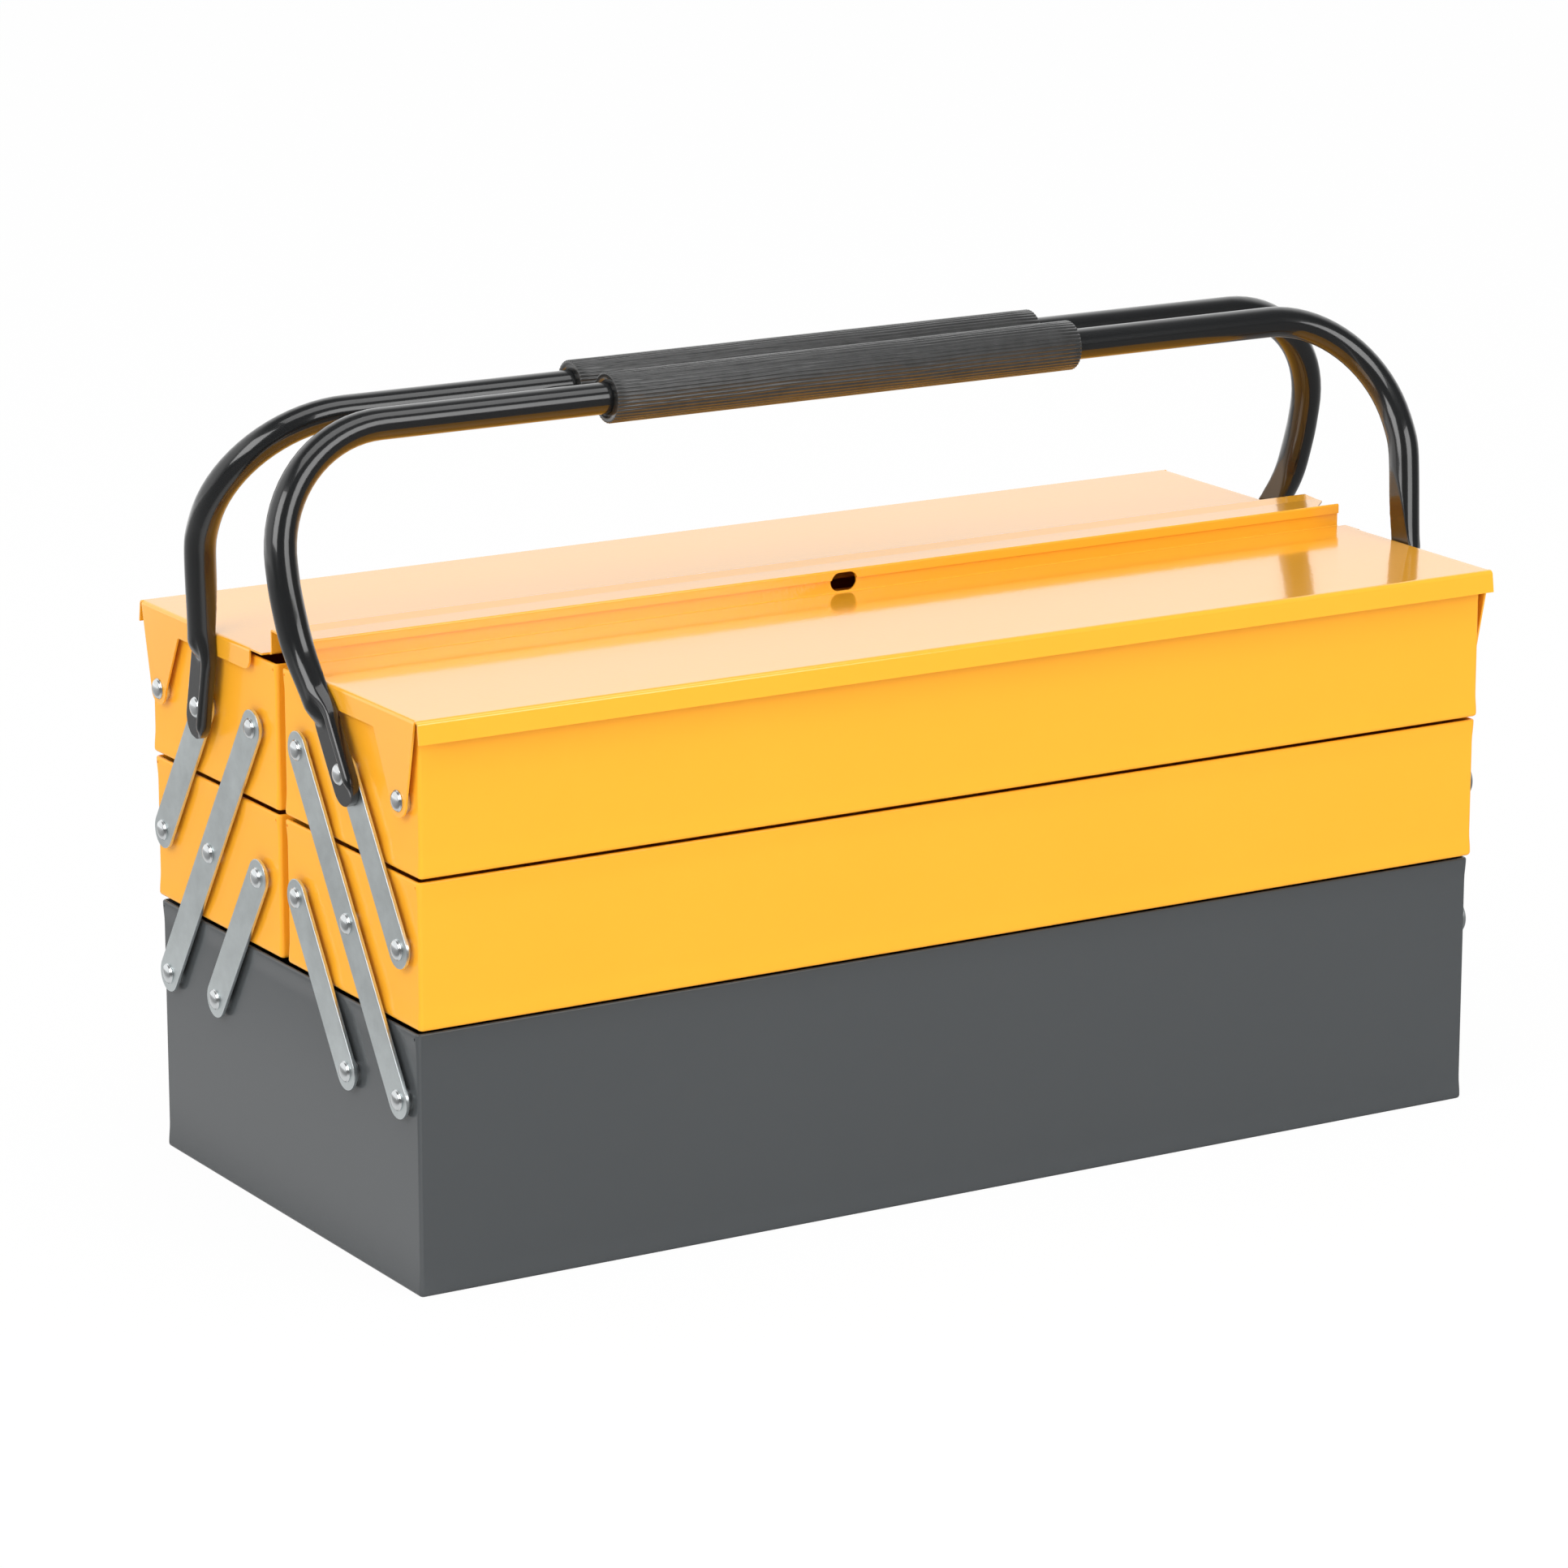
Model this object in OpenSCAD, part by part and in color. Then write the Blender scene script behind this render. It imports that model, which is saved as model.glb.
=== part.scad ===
// Cantilever tool box in sheet steel: a deep base, two lower trays, two upper trays with hinged
// lids, and two tubular handles. Flat links at both ends carry the trays out and up when the
// handles are pulled apart. +X runs along the box, -Y is the front, +Z is up, in millimetres,
// and the origin is the middle of the base's underside.

/* [Base] */
// Length over the end walls, shared by the base and the trays
box_length = 495; // [440:5:540]
// Width of the base, front to back
base_width = 223; // [216:1:232]
// Height of the base
base_height = 105.2; // [90:0.1:125]
// Thickness of the sheet steel of the base, the trays and the lids
sheet = 0.8; // [0.6:0.1:1.2]
// Outside radius of the folded upright corners
corner_radius = 2; // [1.5:0.1:3]
// Outside radius of the folds round a floor
floor_radius = 1.5; // [1:0.1:2.5]
// Outside radius of a hemmed rim
rim_radius = 0.7; // [0.4:0.1:1]
// Depth of the hem that is folded in at a rim
hem_depth = 8; // [5:0.5:12]
// Diameter of the relief hole near each rim corner
relief_hole = 1; // [0.8:0.1:1.2]
// Distance of a relief hole from the side and from the rim
relief_inset = 2.4; // [2:0.1:4]

/* [Trays] */
// Height of the two lower trays
lower_tray_height = 58.5; // [54:0.5:64]
// Height of the two upper trays
upper_tray_height = 59; // [54:0.5:64]
// Gap between a tray's floor and the rim below it
tray_gap = 1.5; // [1:0.1:2.5]
// Gap between the front and the rear trays
centre_gap = 5; // [3:0.1:8]
// How far a lower tray stands out past the base
lower_tray_proud = 2.5; // [1:0.1:4]
// How far an upper tray stands out past the lower tray
upper_tray_proud = 1.5; // [0.5:0.1:2.5]

/* [Linkage] */
// Distance of the outer base pivot from the base's side wall
outer_pivot_inset = 11.5; // [10:0.1:13]
// Distance between the pivots of the short and the long link
short_link_pitch = 43; // [38:0.5:44]
// Distance between the pivots of the long link and the handle link
handle_link_pitch = 42; // [38:0.5:46]
// Sideways run of a link between one level of pivots and the next
link_lean = 40; // [36:0.5:42]
// Height of a tray's pivots above its floor
pivot_height = 30.2; // [26:0.1:34]
// Width of a link
link_width = 15; // [12:0.5:17]
// Thickness of a link
link_thickness = 1.5; // [1.2:0.1:2]
// Outside diameter of the spacer washers
washer_diameter = 10; // [9:0.1:13]
// Thickness of the spacer washers
washer_thickness = 1.4; // [1.2:0.1:2]
// Diameter of the rivet shanks
rivet_diameter = 4; // [3:0.1:5]
// Diameter of the rivet heads
rivet_head_diameter = 8.4; // [7:0.1:9.5]
// Height of the domed rivet heads
rivet_head_height = 2; // [1.4:0.1:2.6]
// Height of the thin edge under a rivet's dome
rivet_head_edge = 0.4; // [0.2:0.1:0.8]
// Diameter of the closed end of a rivet, inside the wall
rivet_tail_diameter = 6.6; // [6:0.1:8]
// Height of the closed end of a rivet
rivet_tail_height = 1.2; // [0.8:0.1:2]
// Running clearance round a rivet and beside a link
running_clearance = 0.05; // [0.03:0.01:0.1]

/* [Lids] */
// Gap between a tray's rim and the underside of its lid
lid_gap = 2.7; // [2.4:0.1:4]
// How far a lid stands out past the end walls
lid_end_overhang = 2.6; // [2.4:0.1:2.8]
// How far a lid stands out past the side of its tray
lid_side_overhang = 4.2; // [3:0.1:6]
// Depth of the flanges round a lid
lid_flange = 9; // [7:0.5:12]
// How far the lower edge of the side flange is flared outwards
flange_flare = 1.2; // [0.5:0.1:2]
// Radius of the lower corner of an end flange
flange_corner = 5; // [3:0.5:6]
// Distance of the lid hinge from the side of the tray
hinge_inset = 12; // [11:0.1:14]
// Height of the lid hinge above the tray's floor
hinge_height = 28.7; // [26:0.1:31]
// Radius of the ear round the lid hinge
ear_radius = 6.5; // [5.5:0.1:7.5]
// Width of the ear where it leaves the lid
ear_top_width = 33; // [28:0.5:36]
// Distance of the inner edge of the front lid from the middle of the box
front_lid_setback = 15.5; // [14:0.5:18]
// Distance of the inner edge of the rear lid from the middle of the box
rear_lid_setback = 8.5; // [6:0.5:10]
// Height of the upstand along the inner edge of a lid
upstand_height = 9.5; // [9.2:0.1:11]
// How much shorter than the lid the upstand is at each end
upstand_inset = 4; // [3.4:0.1:6]
// Depth of the hem on the front lid's upstand
upstand_hem = 4; // [3:0.1:5]
// Gap between the rear lid's lip and the front lid's upstand
lip_gap = 1.4; // [1.2:0.1:3]
// Fall of the lip from its crest to its flat front
lip_fall = 1.5; // [1:0.1:1.6]
// Width of the sloping part of the lip
lip_slope_width = 9; // [6:0.5:12]
// Size of the chamfer on each corner of the lip
lip_chamfer = 9; // [5:0.5:11]
// Length of the padlock slot
padlock_slot_length = 12.3; // [10:0.1:15]
// Height of the padlock slot
padlock_slot_height = 7.8; // [6:0.1:8]
// Height of the slot's lower edge above the lid
padlock_slot_margin = 0.6; // [0.4:0.1:0.8]

/* [Handles] */
// Outside diameter of the handle tube
tube_diameter = 12.7; // [10:0.1:14]
// Distance between the middles of the two handle bars
handle_spacing = 29.5; // [28:0.5:34]
// Height of the handle bars above the lids
bar_rise = 90.8; // [88:0.1:96]
// Bend radius at the top corners of a handle
top_bend_radius = 49; // [46:1:52]
// Bend radius at the knees of a handle
knee_radius = 24; // [20:1:28]
// Distance from the rivet to the knee of the leg that is in line with its link
low_knee = 52; // [50.5:0.5:56]
// Distance from the rivet to the knee of the leg that stands steeper than its link
high_knee = 75; // [70:0.5:77]
// Lean of the steeper leg, from upright
steep_lean = 13; // [10:1:17]
// Distance of the middle of the tube from the end wall
handle_standoff = 10.5; // [10:0.1:12]
// How much wider than the tube a leg is where it starts to be pressed flat
press_spread = 0.2; // [0.16:0.02:0.4]
// Width of the flattened end of the tube
flat_width = 17.5; // [16:0.5:19]
// Thickness of the flattened end
flat_thickness = 3; // [2.4:0.1:3.6]
// Length of the flattened end above its rivet
flat_above = 27; // [24:0.5:30]
// Length of the flattened end below its rivet
flat_below = 13; // [11:0.5:15]
// Length over which the tube is pressed from round to flat
flat_run_out = 18; // [15:0.5:20]
// Width of the rounded ridge left along one edge of the flattened end
ridge_width = 4.6; // [4:0.1:5]
// Height of the ridge above the flattened end
ridge_height = 2.6; // [2.4:0.1:3.4]
// Sideways shift of the flattened end that keeps the ridge beside the rivet head
flat_shift = 0.4; // [0:0.1:1]

/* [Grips] */
// Length of a grip
grip_length = 218; // [180:1:260]
// Diameter of a grip over its ribs
grip_diameter = 20.4; // [18:0.1:24]
// Number of ribs along a grip
grip_ribs = 38; // [30:1:44]
// Diameter of the round back of each rib
rib_diameter = 1.5; // [1.2:0.1:1.6]
// Clearance between a grip and its tube
grip_clearance = 0.05; // [0.02:0.01:0.1]

/* [Hidden] */
$fn = 64;
amber = "#ffae30";
charcoal = "#505456";
zinc = "#b4bfc2";
black = "#17191b";
rubber = "#242628";
// How far a cut runs past the face it opens
past = 1;

// Levels of the floors and rims, from the base up
end_x = box_length / 2;
lower_floor = base_height + tray_gap;
lower_rim = lower_floor + lower_tray_height;
upper_floor = lower_rim + tray_gap;
upper_rim = upper_floor + upper_tray_height;
lid_top = upper_rim + lid_gap + sheet;

// Sides of the front trays, measured out from the middle of the box
lower_side = base_width / 2 + lower_tray_proud;
upper_side = lower_side + upper_tray_proud;
lid_side = upper_side + lid_side_overhang;

// Pivots of the front half as [y, z]. One link rise lifts a pivot by one tray and one gap, so the
// three pivots of a long link lie on one line and every link stays parallel to the others.
link_rise = lower_tray_height + tray_gap;
link_step = [link_lean, link_rise];
lean_angle = atan2(link_lean, link_rise);
base_outer_pivot = [outer_pivot_inset - base_width / 2, lower_floor + pivot_height - link_rise];
base_inner_pivot = base_outer_pivot + [short_link_pitch, 0];
lower_mid_pivot = base_outer_pivot + link_step;
lower_inner_pivot = base_inner_pivot + link_step;
lower_outer_pivot = lower_mid_pivot - [handle_link_pitch, 0];
upper_inner_pivot = lower_mid_pivot + link_step;
upper_mid_pivot = lower_outer_pivot + link_step;
lid_hinge = [hinge_inset - upper_side, upper_floor + hinge_height];
base_pivots = [base_outer_pivot, base_inner_pivot];
lower_pivots = [lower_outer_pivot, lower_mid_pivot, lower_inner_pivot];

// Layers outside an end wall: washer, link, then a rivet head or the flattened end of a handle
link_inner_face = washer_thickness + running_clearance;
link_outer_face = link_inner_face + link_thickness;
flat_inner_face = link_outer_face + running_clearance;
flat_outer_face = flat_inner_face + flat_thickness;
ear_inner_face = lid_end_overhang - sheet;
bore_diameter = rivet_diameter + 2 * running_clearance;

// Middle of a handle's bar as [y, z], and the distance from the middle of the box to its legs
bar = [-handle_spacing / 2, lid_top + bar_rise];
leg_x = end_x + handle_standoff;
pressed_diameter = tube_diameter + press_spread;
// How far the pressed stretch of a leg reaches into the knee
leg_lap = 0.8;
// Neck under the grip that joins the two halves of a handle, each drawn with its own leg
neck_length = 20;
neck_diameter = tube_diameter - 0.4;

// Cross-section of a folded sheet: a strip of even thickness along a path whose corners are bent
function unit(v) = v / norm(v);
function bend(before, corner, after, radius, steps = 4) =
    let (start = corner + radius * unit(before - corner), end = corner + radius * unit(after - corner))
    [for (i = [0:steps]) let (t = i / steps)
        (1 - t) * (1 - t) * start + 2 * t * (1 - t) * corner + t * t * end];
function bent_path(points, radius) = [
    points[0],
    for (i = [1:len(points) - 2]) each bend(points[i - 1], points[i], points[i + 1], radius),
    points[len(points) - 1]];
function sideways(path, i) =
    let (last = len(path) - 1,
        before = i > 0 ? unit(path[i] - path[i - 1]) : unit(path[1] - path[0]),
        after = i < last ? unit(path[i + 1] - path[i]) : before,
        middle = unit(before + after))
    [-middle.y, middle.x] / (middle * before);
function strip(path, thickness) = concat(
    [for (i = [0:len(path) - 1]) path[i] + sideways(path, i) * thickness / 2],
    [for (i = [len(path) - 1:-1:0]) path[i] - sideways(path, i) * thickness / 2]);

// Draws a [y, z] outline as a bar along the box, centred on its middle
module along_box(length) {
    rotate([90, 0, 90]) linear_extrude(length, center = true) children();
}

// Draws a [y, z] outline as a plate whose inner face lies at a distance from the middle of the box
module end_plate(inner_face, thickness) {
    translate([inner_face, 0, 0]) rotate([90, 0, 90]) linear_extrude(thickness) children();
}

module both_ends() {
    children();
    mirror([1, 0, 0]) children();
}

module rear_half() {
    mirror([0, 1, 0]) children();
}

// Rectangle that stands on the axis, with one radius at its foot and one at its top
module wall_outline(width, height, foot, top) {
    translate([-width / 2, foot]) square([width, height - foot - top]);
    translate([foot - width / 2, 0]) square([width - 2 * foot, height / 2]);
    translate([top - width / 2, height / 2]) square([width - 2 * top, height / 2]);
    for (side = [-1, 1]) {
        translate([side * (width / 2 - foot), foot]) circle(foot);
        translate([side * (width / 2 - top), height - top]) circle(top);
    }
}

module plan_outline(length, width, corner) {
    square([length - 2 * corner, width], center = true);
    square([length, width - 2 * corner], center = true);
    for (x = [-1, 1], y = [-1, 1])
        translate([x * (length / 2 - corner), y * (width / 2 - corner)]) circle(corner);
}

// Open box of folded sheet with a hem folded in round its rim and a bore for each rivet
module folded_box(outer_y, inner_y, floor_z, height, pivots) {
    width = inner_y - outer_y;
    middle_y = (outer_y + inner_y) / 2;
    hem = 2 * sheet;
    difference() {
        translate([0, middle_y, floor_z]) difference() {
            intersection() {
                linear_extrude(height) plan_outline(box_length, width, corner_radius);
                along_box(box_length) wall_outline(width, height, floor_radius, rim_radius);
                rotate([90, 0, 0]) linear_extrude(width, center = true)
                    wall_outline(box_length, height, floor_radius, rim_radius);
            }
            translate([0, 0, sheet]) linear_extrude(height - sheet - hem_depth)
                plan_outline(box_length - 2 * sheet, width - 2 * sheet, corner_radius - sheet);
            translate([0, 0, height / 2]) linear_extrude(height)
                square([box_length - 2 * hem, width - 2 * hem], center = true);
        }
        both_ends() for (pivot = pivots)
            end_plate(end_x - sheet - past, sheet + 2 * past) translate(pivot) circle(d = bore_diameter);
        both_ends() for (side = [-1, 1])
            end_plate(end_x - hem - past, hem + 2 * past)
                translate([middle_y + side * (width / 2 - relief_inset), floor_z + height - relief_inset])
                    circle(d = relief_hole);
    }
}

module lower_tray() {
    color(amber) folded_box(-lower_side, -centre_gap / 2, lower_floor, lower_tray_height, lower_pivots);
}

module upper_tray() {
    color(amber) folded_box(-upper_side, -centre_gap / 2, upper_floor, upper_tray_height,
        [upper_mid_pivot, upper_inner_pivot, lid_hinge]);
}

module base_tray() {
    mirrored = [for (p = base_pivots) [-p.x, p.y]];
    color(charcoal)
        folded_box(-base_width / 2, base_width / 2, 0, base_height, concat(base_pivots, mirrored));
}

// Flat bar with round ends through a row of pivots, bored for their rivets
module link(pivots) {
    first = pivots[0];
    last = pivots[len(pivots) - 1];
    color(zinc) end_plate(end_x + link_inner_face, link_thickness) difference() {
        union() {
            for (end = [first, last]) translate(end) circle(d = link_width);
            translate(first) rotate(90 - lean_angle) translate([0, -link_width / 2])
                square([norm(last - first), link_width]);
        }
        for (pivot = pivots) translate(pivot) circle(d = bore_diameter);
    }
}

module long_link() {
    link([base_outer_pivot, lower_mid_pivot, upper_inner_pivot]);
}

module short_link() {
    link([base_inner_pivot, lower_inner_pivot]);
}

module handle_link() {
    link([lower_outer_pivot, upper_mid_pivot]);
}

// Rivet that stands out of the end wall and holds a stack of the given thickness
module rivet(pivot, stack) {
    dome = rivet_head_height - rivet_head_edge;
    dome_radius = (pow(rivet_head_diameter / 2, 2) + pow(dome, 2)) / (2 * dome);
    head_face = end_x + stack + running_clearance;
    tail_face = end_x - sheet - running_clearance;
    translate([0, pivot.x, pivot.y]) rotate([0, 90, 0]) {
        translate([0, 0, tail_face]) cylinder(d = rivet_diameter, h = head_face - tail_face);
        translate([0, 0, tail_face - rivet_tail_height])
            cylinder(d = rivet_tail_diameter, h = rivet_tail_height);
        translate([0, 0, head_face]) cylinder(d = rivet_head_diameter, h = rivet_head_edge);
        translate([0, 0, head_face + rivet_head_edge]) intersection() {
            translate([0, 0, dome - dome_radius]) sphere(dome_radius);
            cylinder(d = rivet_head_diameter, h = dome);
        }
    }
}

module washer(pivot, thickness) {
    end_plate(end_x, thickness) translate(pivot) difference() {
        circle(d = washer_diameter);
        circle(d = bore_diameter);
    }
}

module base_rivets() {
    color(zinc) both_ends() for (pivot = base_pivots) {
        rivet(pivot, link_outer_face);
        rear_half() rivet(pivot, link_outer_face);
    }
}

module base_washers() {
    color(zinc) both_ends() for (pivot = base_pivots) {
        washer(pivot, washer_thickness);
        rear_half() washer(pivot, washer_thickness);
    }
}

module lower_tray_rivets() {
    color(zinc) both_ends() for (pivot = lower_pivots) rivet(pivot, link_outer_face);
}

module lower_tray_washers() {
    color(zinc) both_ends() for (pivot = lower_pivots) washer(pivot, washer_thickness);
}

module upper_tray_rivets() {
    color(zinc) both_ends() {
        rivet(upper_inner_pivot, link_outer_face);
        rivet(upper_mid_pivot, flat_outer_face);
    }
}

module upper_tray_washers() {
    color(zinc) both_ends() for (pivot = [upper_mid_pivot, upper_inner_pivot])
        washer(pivot, washer_thickness);
}

module lid_rivets() {
    color(zinc) both_ends() rivet(lid_hinge, lid_end_overhang);
}

module lid_washers() {
    color(zinc) both_ends() washer(lid_hinge, ear_inner_face - running_clearance);
}

// Plate, side flange, end flanges and ears of a lid, up to its inner edge
module lid_shell(setback) {
    middle_z = lid_top - sheet / 2;
    shell_path = bent_path([
        [-lid_side - flange_flare + sheet / 2, lid_top - lid_flange],
        [-lid_side + sheet / 2, middle_z],
        [-setback, middle_z]], floor_radius);
    ear_foot = lid_hinge.y - ear_radius;
    ear_outer_top = sheet + floor_radius - lid_side;
    flange_inner_end = -setback - 2 * flange_corner;
    intersection() {
        union() {
            along_box(2 * (end_x + lid_end_overhang)) polygon(strip(shell_path, sheet));
            both_ends() end_plate(end_x + ear_inner_face, sheet) {
                polygon([
                    [ear_outer_top, lid_top - sheet / 2],
                    lid_hinge + [-ear_radius, 0],
                    lid_hinge + [ear_radius, 0],
                    [ear_outer_top + ear_top_width, lid_top - lid_flange],
                    [ear_outer_top + ear_top_width, lid_top - sheet / 2]]);
                translate(lid_hinge) circle(ear_radius);
                translate([ear_outer_top, lid_top - lid_flange])
                    square([flange_inner_end - flange_corner - ear_outer_top, lid_flange - sheet / 2]);
                translate([ear_outer_top, lid_top - lid_flange + flange_corner])
                    square([flange_inner_end - ear_outer_top, lid_flange - flange_corner - sheet / 2]);
                translate([flange_inner_end - flange_corner, lid_top - lid_flange + flange_corner])
                    circle(flange_corner);
            }
        }
        rotate([90, 0, 0]) linear_extrude(lid_side + lid_flange) translate([0, ear_foot - past])
            wall_outline(2 * (end_x + lid_end_overhang), lid_top - ear_foot + past, past, floor_radius);
    }
}

module padlock_slot(y) {
    reach = (padlock_slot_length - padlock_slot_height) / 2;
    translate([0, y, lid_top + padlock_slot_margin + padlock_slot_height / 2]) rotate([90, 0, 0])
        linear_extrude(4 * sheet + 2 * past, center = true) {
            square([2 * reach, padlock_slot_height], center = true);
            for (side = [-1, 1]) translate([side * reach, 0]) circle(d = padlock_slot_height);
        }
}

module hinge_bores() {
    both_ends() end_plate(end_x, lid_end_overhang + past) translate(lid_hinge) circle(d = bore_diameter);
}

module front_lid() {
    upstand_y = -front_lid_setback;
    hem_middle = upstand_y - sheet / 2;
    upstand_path = bent_path([
        [upstand_y - 2 * floor_radius, lid_top - sheet / 2],
        [upstand_y, lid_top - sheet / 2],
        [upstand_y, lid_top + upstand_height - sheet]], sheet);
    color(amber) difference() {
        union() {
            lid_shell(front_lid_setback + floor_radius);
            along_box(2 * (end_x + lid_end_overhang - upstand_inset)) {
                polygon(strip(upstand_path, sheet));
                translate([hem_middle, lid_top + upstand_height - sheet]) circle(sheet);
                translate([hem_middle - sheet, lid_top + upstand_height - upstand_hem])
                    square([2 * sheet, upstand_hem - sheet]);
            }
        }
        hinge_bores();
        padlock_slot(upstand_y);
    }
}

module rear_lid() {
    crest_y = rear_lid_setback;
    crest_z = lid_top + upstand_height - sheet / 2;
    lip_y = -front_lid_setback + sheet / 2 + lip_gap;
    lip_length = 2 * (end_x + lid_end_overhang - upstand_inset);
    upstand_path = bent_path([
        [crest_y + 2 * floor_radius, lid_top - sheet / 2],
        [crest_y, lid_top - sheet / 2],
        [crest_y, crest_z],
        [crest_y - lip_slope_width, crest_z - lip_fall],
        [lip_y, crest_z - lip_fall]], sheet);
    color(amber) difference() {
        union() {
            rear_half() lid_shell(rear_lid_setback + floor_radius);
            along_box(lip_length) polygon(strip(upstand_path, sheet));
        }
        rear_half() hinge_bores();
        padlock_slot(crest_y);
        both_ends() translate([lip_length / 2, lip_y, lid_top + sheet]) rotate(45)
            cube([2 * lip_chamfer, sqrt(2) * lip_chamfer, 4 * upstand_height], center = true);
    }
}

// Flattened lower end of a handle leg, drawn with the rivet at the origin, the leg along +Z and
// +X away from the box. The ridge lies on the given side.
module flattened_end(ridge_side) {
    centre_y = ridge_side * flat_shift;
    tail_z = flat_width / 2 - flat_below;
    slice = 1;
    difference() {
        intersection() {
            rotate([90, 0, 90]) translate([0, 0, flat_inner_face])
                linear_extrude(flat_thickness + ridge_height) translate([centre_y, tail_z]) {
                    circle(d = flat_width);
                    translate([-flat_width / 2, 0]) square([flat_width, flat_above - tail_z]);
                }
            translate([0, centre_y, -flat_below - past]) linear_extrude(flat_above + flat_below + 2 * past) {
                translate([flat_inner_face, -flat_width / 2]) square([flat_thickness, flat_width]);
                ridge_y = ridge_side * (flat_width - ridge_width) / 2;
                ridge_top = flat_thickness + ridge_height - ridge_width / 2;
                translate([flat_inner_face, ridge_y - ridge_width / 2]) square([ridge_top, ridge_width]);
                translate([flat_inner_face + ridge_top, ridge_y]) circle(d = ridge_width);
            }
        }
        rotate([0, 90, 0]) cylinder(d = bore_diameter, h = flat_outer_face + past);
    }
    hull() {
        translate([flat_inner_face, centre_y - flat_width / 2, flat_above - slice])
            cube([flat_thickness, flat_width, slice]);
        translate([handle_standoff, 0, flat_above + flat_run_out])
            cylinder(d = pressed_diameter, h = slice, $fn = 32);
    }
}

// Bend of the tube about the Z axis, from the X axis round
module tube_bend(radius, angle) {
    rotate_extrude(angle = angle) translate([radius, 0]) circle(d = tube_diameter);
}

// Half of a handle: leg from the flattened end up to its knee, top bend and half of the bar
module handle_half(lean, knee_distance, ridge_side) {
    to_bar = bar - upper_mid_pivot - knee_distance * [sin(lean), cos(lean)];
    tilt = atan2(to_bar.x, to_bar.y);
    knee_tangent = knee_radius * tan(abs(lean - tilt) / 2);
    upright = norm(to_bar) - top_bend_radius - knee_tangent;
    pressed_from = flat_above + flat_run_out;
    pressed_to = knee_distance - knee_tangent + leg_lap;
    translate([end_x, upper_mid_pivot.x, upper_mid_pivot.y]) rotate([-lean, 0, 0]) {
        flattened_end(ridge_side);
        translate([handle_standoff, 0, pressed_from])
            cylinder(d = pressed_diameter, h = pressed_to - pressed_from);
    }
    translate([leg_x - top_bend_radius, bar.x, bar.y]) rotate([90 - tilt, 0, 0]) {
        rotate([0, -90, 0])
            cylinder(d = tube_diameter, h = leg_x - top_bend_radius - neck_length / 2);
        translate([0, -top_bend_radius, 0]) tube_bend(top_bend_radius, 90);
        translate([top_bend_radius, -top_bend_radius, 0]) rotate([90, 0, 0])
            cylinder(d = tube_diameter, h = upright);
        translate([top_bend_radius, -top_bend_radius - upright, 0]) rotate([0, lean < tilt ? 180 : 0, 0])
            translate([0, 0, knee_radius]) rotate([0, 90, 0]) rotate([180, 0, 0])
                tube_bend(knee_radius, abs(lean - tilt));
    }
}

// Handle with one leg in line with its link, at the left, and one that stands steeper
module handle() {
    color(black) {
        mirror([1, 0, 0]) handle_half(lean_angle, low_knee, -1);
        handle_half(steep_lean, high_knee, 1);
        translate([0, bar.x, bar.y]) rotate([0, 90, 0])
            cylinder(d = neck_diameter, h = neck_length + 2, center = true);
    }
}

module grip() {
    core = grip_diameter - rib_diameter;
    color(rubber) translate([0, bar.x, bar.y]) rotate([0, 90, 0])
        linear_extrude(grip_length, center = true) difference() {
            union() {
                circle(d = core);
                for (i = [0:grip_ribs - 1]) rotate(360 * i / grip_ribs) translate([core / 2, 0])
                    circle(d = rib_diameter);
            }
            circle(d = tube_diameter + 2 * grip_clearance);
        }
}

module left_end() {
    mirror([1, 0, 0]) children();
}

module half_turn() {
    rotate(180) children();
}

base_tray();
lower_tray();  // front_lower_tray
rear_half() lower_tray();  // rear_lower_tray
upper_tray();  // front_upper_tray
rear_half() upper_tray();  // rear_upper_tray
front_lid();
rear_lid();
handle();  // front_handle
half_turn() handle();  // rear_handle
grip();  // front_grip
half_turn() grip();  // rear_grip
left_end() long_link();  // front_left_long_link
long_link();  // front_right_long_link
rear_half() left_end() long_link();  // rear_left_long_link
rear_half() long_link();  // rear_right_long_link
left_end() short_link();  // front_left_short_link
short_link();  // front_right_short_link
rear_half() left_end() short_link();  // rear_left_short_link
rear_half() short_link();  // rear_right_short_link
left_end() handle_link();  // front_left_handle_link
handle_link();  // front_right_handle_link
rear_half() left_end() handle_link();  // rear_left_handle_link
rear_half() handle_link();  // rear_right_handle_link
base_rivets();
lower_tray_rivets();  // front_lower_tray_rivets
rear_half() lower_tray_rivets();  // rear_lower_tray_rivets
upper_tray_rivets();  // front_upper_tray_rivets
rear_half() upper_tray_rivets();  // rear_upper_tray_rivets
lid_rivets();  // front_lid_rivets
rear_half() lid_rivets();  // rear_lid_rivets
base_washers();
lower_tray_washers();  // front_lower_tray_washers
rear_half() lower_tray_washers();  // rear_lower_tray_washers
upper_tray_washers();  // front_upper_tray_washers
rear_half() upper_tray_washers();  // rear_upper_tray_washers
lid_washers();  // front_lid_washers
rear_half() lid_washers();  // rear_lid_washers
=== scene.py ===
from math import atan2, cos, pi, radians, sin, sqrt, tan

import bmesh
import bpy
from mathutils import Matrix, Vector


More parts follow.
